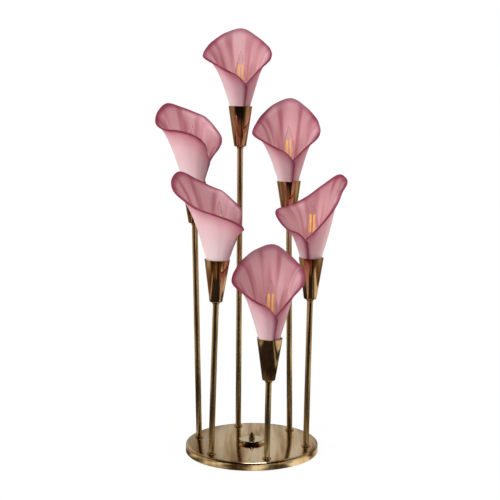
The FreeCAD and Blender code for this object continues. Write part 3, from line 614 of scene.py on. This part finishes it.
# %% cups
cup_slope = (CUP_RIM_R - CUP_BOTTOM_R) / CUP_LENGTH
CUP_FLOOR = -CUP_LENGTH + CUP_BOTTOM_WALL
for number in FLOWERS:
    bm = bmesh.new()
    lathe(bm, [
        (NIPPLE_HOLE_R, -CUP_LENGTH),
        (CUP_BOTTOM_R, -CUP_LENGTH, CUP_BOTTOM_ROUND),
        (CUP_RIM_R, 0.0, 0.35 * MM),
        (CUP_RIM_R - CUP_WALL, 0.0, 0.35 * MM),
        (CUP_RIM_R + cup_slope * CUP_FLOOR - CUP_WALL, CUP_FLOOR, 1.0 * MM),
        (NIPPLE_HOLE_R, CUP_FLOOR),
    ], steps=72, place=axis_matrix(number), segments=4)
    finish_piece(bm, f"cup_{number}_spun", "root", [f"cup_{number}"], spun_brass)

# %% [markdown]
# ## Bulbs
#
# A candle bulb is blown glass on a small screw cap, with a glass stem inside that carries upright
# filament strips. The glass has a real wall, so that it refracts twice as a hollow bulb does.

# %% bulb glass
NECK_BULB_R = 6.4 * MM
BULB_WALL = 0.8 * MM
BULB_SIDE = [(0.0, 1.0), (0.11, 0.66), (0.26, 0.95), (0.38, 1.0), (0.57, 0.85), (0.76, 0.53), (0.91, 0.22)]
bulb_height = BULB_TOP - CAP_TOP


def bulb_radius(part):
    """Radius of the bulb at a share of its height, a smooth curve through the shape's few points."""
    points = [(0.0, NECK_BULB_R)] + [(h, r * BULB_R) for h, r in BULB_SIDE[1:]] + [(1.0, 0.0)]
    k = max(i for i in range(len(points) - 1) if points[i][0] <= part)
    before, after = points[max(k - 1, 0)], points[min(k + 2, len(points) - 1)]
    a, b = points[k], points[k + 1]
    t = (part - a[0]) / (b[0] - a[0])
    slope_a = (b[1] - before[1]) / (b[0] - before[0]) * (b[0] - a[0])
    slope_b = (after[1] - a[1]) / (after[0] - a[0]) * (b[0] - a[0])
    return ((2 * t**3 - 3 * t**2 + 1) * a[1] + (t**3 - 2 * t**2 + t) * slope_a
            + (3 * t**2 - 2 * t**3) * b[1] + (t**3 - t**2) * slope_b)


STEPS_UP = 26
shares = [k / STEPS_UP for k in range(STEPS_UP)]
outer = [(max(bulb_radius(share), 0.0), CAP_TOP + bulb_height * share) for share in shares]
outer.append((0.0, BULB_TOP))
inner = [(max(r - BULB_WALL, 0.0), min(z, BULB_TOP - 2 * BULB_WALL)) for r, z in outer[:-2]]
inner.append((0.0, BULB_TOP - 2 * BULB_WALL))
for number in FLOWERS:
    bm = bmesh.new()
    lathe(bm, outer + inner[::-1], steps=40, place=axis_matrix(number))
    finish_piece(bm, f"bulb_{number}_blown", "root", [f"bulb_glass_{number}"],
                 bulb_glass)

# %% bulb caps, stems and filaments
CAP_R = 5.95 * MM
CAP_TIP_R = 3.0 * MM
CAP_TIP = -3.9 * MM
CAP_SHOULDER = -1.4 * MM
MOUNT_R = 2.2 * MM
MOUNT_FOOT_R = 5.3 * MM
MOUNT_FOOT = 4.0 * MM
MOUNT_TOP = 42.0 * MM
DISC_R = 5.4 * MM
DISC_TOP = MOUNT_TOP + 0.8 * MM
FILAMENTS = 4
FILAMENT_R = 0.9 * MM
FILAMENT_RING_R = 4.0 * MM
FILAMENT_TOP = DISC_TOP + 30.0 * MM
caps = bmesh.new()
mounts = bmesh.new()
strips = bmesh.new()
for number in FLOWERS:
    place = axis_matrix(number)
    lathe(caps, [
        (0.0, CAP_TIP),
        (CAP_TIP_R, CAP_TIP, 0.3 * MM),
        (CAP_R, CAP_SHOULDER, 0.4 * MM),
        (CAP_R, CAP_TOP, 0.3 * MM),
        (0.0, CAP_TOP),
    ], steps=32, place=place, closed=False)
    lathe(mounts, [
        (0.0, CAP_TOP),
        (MOUNT_FOOT_R, CAP_TOP, 0.4 * MM),
        (MOUNT_R, CAP_TOP + MOUNT_FOOT, 1.5 * MM),
        (MOUNT_R, MOUNT_TOP, 0.5 * MM),
        (DISC_R, MOUNT_TOP, 0.2 * MM),
        (DISC_R, DISC_TOP, 0.2 * MM),
        (0.0, DISC_TOP),
    ], steps=32, place=place, closed=False)
    for quarter in range(FILAMENTS):
        around = Matrix.Rotation((quarter + 0.5) * math.tau / FILAMENTS, 4, "Z")
        aside = place @ around @ Matrix.Translation((FILAMENT_RING_R, 0, 0))
        lathe(strips, [
            (0.0, DISC_TOP),
            (FILAMENT_R, DISC_TOP),
            (FILAMENT_R, FILAMENT_TOP, 0.4 * MM),
            (0.0, FILAMENT_TOP),
        ], steps=12, place=aside, closed=False)
finish_piece(caps, "bulb_caps_pressed", "root", ["bulb_caps"], nickel)
finish_piece(mounts, "bulb_mounts_pressed", "root", ["bulb_mounts"], bulb_glass)
finish_piece(strips, "bulb_filaments_cast", "root", ["bulb_filaments"], phosphor_painted_glow)

# %% [markdown]
# The lampholder is a plain moulded tube on the nipple, with a bore for the cap from above and one for
# the nipple from below. Only its rim is seen, deep in a flower's mouth.

# %% lampholders
HOLDER_R = 9.0 * MM
HOLDER_TOP = 14.0 * MM
HOLDER_BOTTOM = -62.0 * MM
HOLDER_ROUND = 1.0 * MM
CAP_BORE_R = 6.15 * MM
CAP_BORE_FLOOR = -4.0 * MM
TERMINALS = -54.0 * MM
for number in FLOWERS:
    bm = bmesh.new()
    lathe(bm, [
        (NIPPLE_HOLE_R, HOLDER_BOTTOM),
        (HOLDER_R, HOLDER_BOTTOM, HOLDER_ROUND),
        (HOLDER_R, HOLDER_TOP, HOLDER_ROUND),
        (CAP_BORE_R, HOLDER_TOP, 0.3 * MM),
        (CAP_BORE_R, CAP_BORE_FLOOR),
        (0.0, CAP_BORE_FLOOR),
        (0.0, TERMINALS),
        (NIPPLE_HOLE_R, TERMINALS),
    ], steps=40, place=axis_matrix(number))
    finish_piece(bm, f"lampholder_{number}_moulded", "root", [f"socket_{number}"], ivory)

# %% [markdown]
# ## The glass flowers
#
# A calla lily is one sheet rolled into a funnel, its outer edge lapped over its inner one, opening into
# a lip with two rounded corners and one long tip. It could be sculpted, but six flowers that differ a
# little are easier to keep true with one rule: a flat grid is rolled up by a formula. The lip is a
# table of a few angles with reach, height and flare, joined by smooth curves, and each flower nods, tips
# or twists it by a few millimetres, as the glass was shaped by hand.

# %% the lip, and each flower's own shaping
LIP = [
    (-8, 24.5, 26, 17), (30, 33, 44, 25), (60, 54, 69.5, 72), (90, 56, 89.5, 92),
    (112, 56.5, 104.5, 88), (135, 64, 115.5, 78), (158, 73, 130, 61), (180, 81, 142, 50),
    (202, 80, 130.5, 58), (225, 74.5, 112, 72), (248, 68, 99, 83), (270, 68, 90, 90),
    (292, 70, 84.5, 91), (315, 64.5, 76, 85), (338, 54, 63.5, 60), (360, 34.5, 50, 25),
    (388, 29.5, 32, 17),
]
LIP_FREE_R = 26.0
LIP_FULL_R = 51.0
GLASS_SHALLOW = 0.15

# turn in degrees, then wider and taller as factors, then nod, tip, sag, twist and shift in millimetres
SHAPING = {
    1: (-2.3, 0.958, 0.996, 0.5, -0.9, -1.3, 4.7, 0.1),
    2: (47.5, 0.891, 0.985, 3.1, 1.6, -2.3, -4.7, 1.1),
    3: (66.2, 1.092, 1.005, -0.8, 3.9, -2.8, 3.5, -11.2),
    4: (-7.3, 0.928, 0.999, -1.6, -1.8, 1.2, 4.1, 1.9),
    5: (-44.9, 0.905, 0.936, -7.4, 6.7, -2.7, -7.0, 0.3),
    6: (-4.1, 0.934, 1.085, 4.3, 0.9, -3.4, 5.0, 1.3),
}


def along_lip(angle, column):
    """Smooth value of one column of the lip table at an angle."""
    last = len(LIP) - 1
    place = min(sum(1 for row in LIP[1:-1] if row[0] <= angle), last - 1)

    def slope(index):
        """How fast the column changes there, from its two neighbours."""
        low, high = max(index - 1, 0), min(index + 1, last)
        return (LIP[high][column] - LIP[low][column]) / (LIP[high][0] - LIP[low][0])

    step = LIP[place + 1][0] - LIP[place][0]
    t = (angle - LIP[place][0]) / step
    return ((2 * t**3 - 3 * t**2 + 1) * LIP[place][column] + (t**3 - 2 * t**2 + t) * step * slope(place)
            + (3 * t**2 - 2 * t**3) * LIP[place + 1][column] + (t**3 - t**2) * step * slope(place + 1))


def lip_point(shaping, angle):
    """Reach and height of one flower's lip at an angle, in millimetres."""
    _, wider, taller, nod, tip, sag, twist, shift = shaping
    reach = along_lip(angle, 1)
    freedom = min(max((reach - LIP_FREE_R) / (LIP_FULL_R - LIP_FREE_R), 0), 1)
    turn = math.radians(angle)
    funnel = (CUP_RIM_R + GLASS_WALL) / MM
    height = along_lip(angle, 2) * taller
    height += freedom * (nod * math.cos(turn) + tip * math.sin(turn)
                         + sag * math.cos(2 * turn) + twist * math.sin(2 * turn))
    return funnel + (reach - funnel) * wider + freedom * shift * math.sin(turn), height


# %% [markdown]
# One point of the sheet: U chooses the angle round the roll and V the height. Below the rim the sheet
# follows the cup's cone; above it a curve leads from the funnel out to the lip. A few shallow pleats
# run up the back petal and fade out before the lip, as in glass that was pressed over ribs. The numbers
# here are millimetres, as in the table above.

# %% from the flat grid to the roll
FOOT_SHARE = 0.16
GLASS_RISE = 2.0
GLASS_STEP = 0.4
FUNNEL_ANGLE = math.radians(17.0)
FUNNEL_PULL = 0.62
LIP_PULL = 0.16
PLEATS = 9
PLEAT_DEPTH = 0.55


def petal_point(shaping, u, v):
    """A point on the middle of the glass, in the cup's frame, in millimetres."""
    angle = LIP[0][0] + (LIP[-1][0] - LIP[0][0]) * u
    turn = math.radians(angle)
    inset = (CUP_WALL + GLASS_PLAY + GLASS_WALL / 2 + GLASS_SPIRAL * (1 - u)) / MM
    rim_r = CUP_RIM_R / MM - inset
    start = (rim_r + GLASS_STEP, GLASS_RISE)
    if v < FOOT_SHARE:
        sunk = 1 - v / FOOT_SHARE
        height = start[1] * (1 - sunk) - GLASS_INSERT / MM * sunk
        radius = rim_r + cup_slope * height + GLASS_STEP * max(height, 0) / start[1]
        climb = 0.0
    else:
        climb = (v - FOOT_SHARE) / (1 - FOOT_SHARE)
        lip = lip_point(shaping, angle)
        span = math.hypot(lip[0] - start[0], lip[1] - start[1])
        flare = math.radians(along_lip(angle, 3))
        lower = (start[0] + FUNNEL_PULL * span * math.sin(FUNNEL_ANGLE),
                 start[1] + FUNNEL_PULL * span * math.cos(FUNNEL_ANGLE))
        upper = (lip[0] - LIP_PULL * span * math.sin(flare), lip[1] - LIP_PULL * span * math.cos(flare))
        weights = ((1 - climb)**3, 3 * (1 - climb)**2 * climb, 3 * (1 - climb) * climb**2, climb**3)
        radius, height = (sum(w * p[k] for w, p in zip(weights, (start, lower, upper, lip))) for k in (0, 1))
        behind = max(0.0, -math.cos(turn)) ** 0.5
        radius += PLEAT_DEPTH * behind * math.sin(math.pi * climb) ** 2 * math.cos(PLEATS * turn)
    depth = -radius * math.cos(turn)
    if depth > 0:
        depth *= 1 - GLASS_SHALLOW * climb
    return Vector((radius * math.sin(turn), depth, height))


# %% [markdown]
# The wall comes from Solidify and the soft, fire-polished edge from a bevel of every sharp edge. Which
# side a point is on, and whose flower it is, go into two attributes for the glass material.

# %% flowers
COLUMNS = 110
ROWS = 44
EDGE_ANGLE = math.radians(55)
EDGE_ROUND = 0.36


def flower(number):
    """Rolls a grid, gives it a wall, rounds its edges and sets it in its cup."""
    shaping = SHAPING[number]
    bm = bmesh.new()
    uv = bm.loops.layers.uv.new("UVMap")
    inner = bm.verts.layers.float.new("inner")
    own = bm.verts.layers.float.new("flower")
    bmesh.ops.create_grid(bm, x_segments=COLUMNS, y_segments=ROWS, size=0.5)
    for face in bm.faces:
        for loop in face.loops:
            loop[uv].uv = (loop.vert.co.x + 0.5, loop.vert.co.y + 0.5)
    for vert in bm.verts:
        vert.co = petal_point(shaping, vert.co.x + 0.5, vert.co.y + 0.5) * MM
    bm.normal_update()
    for vert, normal in [(v, v.normal.copy()) for v in bm.verts]:
        vert.co += normal * GLASS_WALL / 2
    outer_verts = set(bm.verts)
    bmesh.ops.solidify(bm, geom=bm.faces[:], thickness=GLASS_WALL)
    for vert in bm.verts:
        vert[inner] = 0.0 if vert in outer_verts else 1.0
        vert[own] = number
    sharp = [e for e in bm.edges if e.is_manifold and e.calc_face_angle() > EDGE_ANGLE]
    bmesh.ops.bevel(bm, geom=sharp, offset=GLASS_WALL * EDGE_ROUND, segments=3, profile=0.5, affect="EDGES",
                    material=-1)
    bmesh.ops.recalc_face_normals(bm, faces=bm.faces[:])
    turned = axis_matrix(number) @ Matrix.Rotation(math.radians(shaping[0]), 4, "Z")
    bmesh.ops.transform(bm, matrix=turned, verts=bm.verts[:])
    return finish_piece(bm, f"lily_{number}_rolled", f"flower_{number}",
                        [f"shade_{number}"], lily_glass, smooth=math.radians(60))


for number in FLOWERS:
    flower(number)

# %% [markdown]
# ## What stays as drawn
#
# The pieces inside the base and the cups keep their drawn meshes and only get their finish.

# %% finish of the drawn nodes
DRAWN = {
    "ballast_weight": iron, "bottom_cover": zinc, "cover_screws": zinc, "dimmer_body": ivory,
    "dimmer_shaft": zinc, "dimmer_nut": zinc, "knob_set_screw": zinc, "foot_washers": zinc,
    "foot_nuts": spun_brass, "stem_leads": sheath, "cup_nipples": zinc, "cup_nuts": spun_brass,
    "glass_seat_rings": fibre,
}
for node_name, material in DRAWN.items():
    node_object = frame["nodes"][node_name]
    if not node_object.material_slots:
        node_object.data.materials.append(material)
    for material_slot in node_object.material_slots:
        material_slot.material = material
print("drawn nodes finished:", len(DRAWN))

# %% [markdown]
# ## Floor, light and camera
#
# The lamp stands on a small sheet of pale paper. The camera sees white all round it, but the brass
# mirrors a darker room, as it does in a shop: a pale wall behind, a window of light at each side, and
# below the table's line the copper brown of its wood. That is what gives the cups their dark middles
# and their bright edges. The paper shows the same room's light and dark where the brass mirrors it.

# %% floor
bm = bmesh.new()
bmesh.ops.create_grid(bm, x_segments=1, y_segments=1, size=0.8)
mesh = bpy.data.meshes.new("floor")
bm.to_mesh(mesh)
bm.free()
floor = bpy.data.objects.new("floor", mesh)
bpy.context.scene.collection.objects.link(floor)
floor_paint, tree, shader = begin("floor_paper_matt", Roughness=0.9)
path = add(tree, "ShaderNodeLightPath")
where = add(tree, "ShaderNodeTexCoord")
away = add(tree, "ShaderNodeVectorMath", {"operation": "LENGTH"}, _0=(where, "Object"))
mirrored = add(tree, "ShaderNodeValToRGB", {"stops": [
    (0.12, "#E8DAB8"), (0.20, "#877659"), (0.32, "#2E2218"), (0.8, "#33241A")]}, Fac=(away, "Value"))
blotches = add(tree, "ShaderNodeTexNoise", Vector=(where, "Object"), Scale=14.0, Detail=1.0)
cloudy = add(tree, "ShaderNodeValToRGB", {"stops": [(0.40, "#5E564A"), (0.56, "#FFFFFF")]},
             Fac=(blotches, "Fac"))
multiply = {"data_type": "RGBA", "blend_type": "MULTIPLY"}
lighten = {"data_type": "RGBA", "blend_type": "LIGHTEN"}
mix = {"data_type": "RGBA", "blend_type": "MIX"}
dusky = add(tree, "ShaderNodeMix", multiply, _0=1.0, _6=(mirrored, "Color"), _7=(cloudy, "Color"))
across = add(tree, "ShaderNodeSeparateXYZ", Vector=(where, "Object"))
sheet_side = add(tree, "ShaderNodeMapRange", Value=(across, "X"), From_Min=-0.8, From_Max=0.8)
sunlit = add(tree, "ShaderNodeValToRGB", {"stops": [
    (0.0, "#3A2A1E"), (0.05, "#C8B69A"), (0.10, "#2A1E16"), (0.72, "#000000"), (0.745, "#C8BC9E"),
    (0.775, "#140E0A"), (0.83, "#1E1610"), (0.86, "#E4DAC4"), (1.0, "#EEE4D0")]},
             Fac=(sheet_side, "Result"))
lit = add(tree, "ShaderNodeMix", lighten, _0=1.0, _6=(dusky, 2), _7=(sunlit, "Color"))
paint = add(tree, "ShaderNodeMix", mix, _0=(path, "Is Glossy Ray"), _6="#F2F1EF", _7=(lit, 2))
join(tree, (paint, 2), shader, "Base Color")
glow = add(tree, "ShaderNodeEmission", Color="#FFFFFF", Strength=1.0)
share = add(tree, "ShaderNodeMath", {"operation": "MULTIPLY"}, _0=(path, "Is Camera Ray"), _1=0.94)
both = add(tree, "ShaderNodeMixShader", Fac=(share, "Value"), _1=(shader, "BSDF"), _2=(glow, "Emission"))
tree.links.new(both.outputs["Shader"], tree.nodes["Material Output"].inputs["Surface"])
mesh.materials.append(floor_paint)

# %% [markdown]
# The world has three faces. To the camera, and through glass, it is white. As light it is a little
# weaker, so that the lamps can shape the glass. In reflections it is the room: a pale wall behind, upright
# bays of furniture, windows at both sides and copper-brown wood below the table's line.

# %% world
world = bpy.data.worlds.new("room")
bpy.context.scene.world = world
world.use_nodes = True
tree = world.node_tree
back = tree.nodes["Background"]
path = add(tree, "ShaderNodeLightPath")
seen = add(tree, "ShaderNodeMath", {"operation": "MAXIMUM"}, _0=(path, "Is Camera Ray"),
           _1=(path, "Is Transmission Ray"))
level = add(tree, "ShaderNodeMapRange", Value=(seen, "Value"), To_Min=0.65, To_Max=1.0)
tree.links.new(level.outputs["Result"], back.inputs["Strength"])
where = add(tree, "ShaderNodeTexCoord")
toward = add(tree, "ShaderNodeSeparateXYZ", Vector=(where, "Generated"))
depth = add(tree, "ShaderNodeMapRange", Value=(toward, "Y"), From_Min=-1.0, From_Max=1.0)
room = add(tree, "ShaderNodeValToRGB", {"stops": [
    (0.0, "#2A1E16"), (0.45, "#34271E"), (0.75, "#A89278"), (1.0, "#FFF4E0")]}, Fac=(depth, "Result"))
upright = add(tree, "ShaderNodeMapping", Vector=(where, "Generated"), Scale=(3.2, 3.2, 0.5))
bands = add(tree, "ShaderNodeTexNoise", Vector=(upright, "Vector"), Scale=1.0, Detail=2.0)
bays = add(tree, "ShaderNodeValToRGB", {"stops": [(0.36, "#6E6A66"), (0.62, "#FFFFFF")]},
           Fac=(bands, "Fac"))
furnished = add(tree, "ShaderNodeMix", multiply, _0=1.0, _6=(room, "Color"), _7=(bays, "Color"))
beside = add(tree, "ShaderNodeMapRange", Value=(toward, "X"), From_Min=-1.0, From_Max=1.0)
windows = add(tree, "ShaderNodeValToRGB", {"stops": [
    (0.0, "#E4D4B4"), (0.05, "#C8AE84"), (0.09, "#2A1E16"), (0.80, "#000000"),
    (0.90, "#7A6448"), (0.96, "#CDB98E"), (1.0, "#E8DAB8")]}, Fac=(beside, "Result"))
lighted = add(tree, "ShaderNodeMix", lighten, _0=1.0, _6=(furnished, 2), _7=(windows, "Color"))
slatted = add(tree, "ShaderNodeMapping", Vector=(where, "Generated"), Scale=(7.0, 7.0, 0.4))
slats = add(tree, "ShaderNodeTexNoise", Vector=(slatted, "Vector"), Scale=1.0, Detail=2.0)
copper = add(tree, "ShaderNodeValToRGB", {"stops": [
    (0.38, "#2A180E"), (0.50, "#7E4C32"), (0.60, "#C89878")]}, Fac=(slats, "Fac"))
below = add(tree, "ShaderNodeMapRange", Value=(toward, "Z"), From_Min=-0.20, From_Max=-0.32)
table = add(tree, "ShaderNodeMix", mix, _0=(below, "Result"), _6=(lighted, 2), _7=(copper, "Color"))
tint = add(tree, "ShaderNodeMix", mix, _0=(path, "Is Glossy Ray"), _6="#FFFFFF", _7=(table, 2))
join(tree, (tint, 2), back, "Color")
print("world:", world.name, "with", len(tree.nodes), "nodes")


# %% [markdown]
# Four soft lamps light the glass. Three of them are left out of mirrors, because the room's own windows
# are already painted in the world, and a second, harder image of them would show in the brass.

# %% soft lamps
def soft_lamp(name, where, size, power, mirrored=True, aim=(0, 0, 0.4)):
    """A rectangular lamp turned to the flowers; mirrored says whether polished brass shows it."""
    lamp = bpy.data.lights.new(name, "AREA")
    lamp.shape = "RECTANGLE"
    lamp.size, lamp.size_y = size
    lamp.energy = power
    stand = bpy.data.objects.new(name, lamp)
    stand.location = where
    stand.visible_glossy = mirrored
    stand.rotation_euler = (Vector(aim) - Vector(where)).to_track_quat("-Z", "Y").to_euler()
    bpy.context.scene.collection.objects.link(stand)


soft_lamp("window_right", (1.5, 0.35, 0.5), (1.0, 1.7), 12.0, mirrored=False)
soft_lamp("window_left", (-1.2, 1.1, 0.5), (0.45, 1.7), 8.0, mirrored=False)
soft_lamp("lamp_front", (-1.5, -1.5, 1.0), (0.30, 1.3), 28.0, mirrored=False)
soft_lamp("lamp_top", (0.1, -0.5, 2.2), (1.0, 1.0), 16.0)

# %% [markdown]
# The camera stands a little under two metres away with a long lens and looks slightly down, as in the
# photograph.

# %% camera
camera_data = bpy.data.cameras.new("camera")
camera_data.sensor_width = 36.0
camera_data.lens = 76.2
camera = bpy.data.objects.new("camera", camera_data)
camera.location = (-0.0031, -1.7921, 0.5827)
camera.rotation_euler = (math.radians(90 - 7.333), 0, 0)
bpy.context.scene.collection.objects.link(camera)
bpy.context.scene.camera = camera
bpy.context.scene.view_settings.view_transform = "Standard"
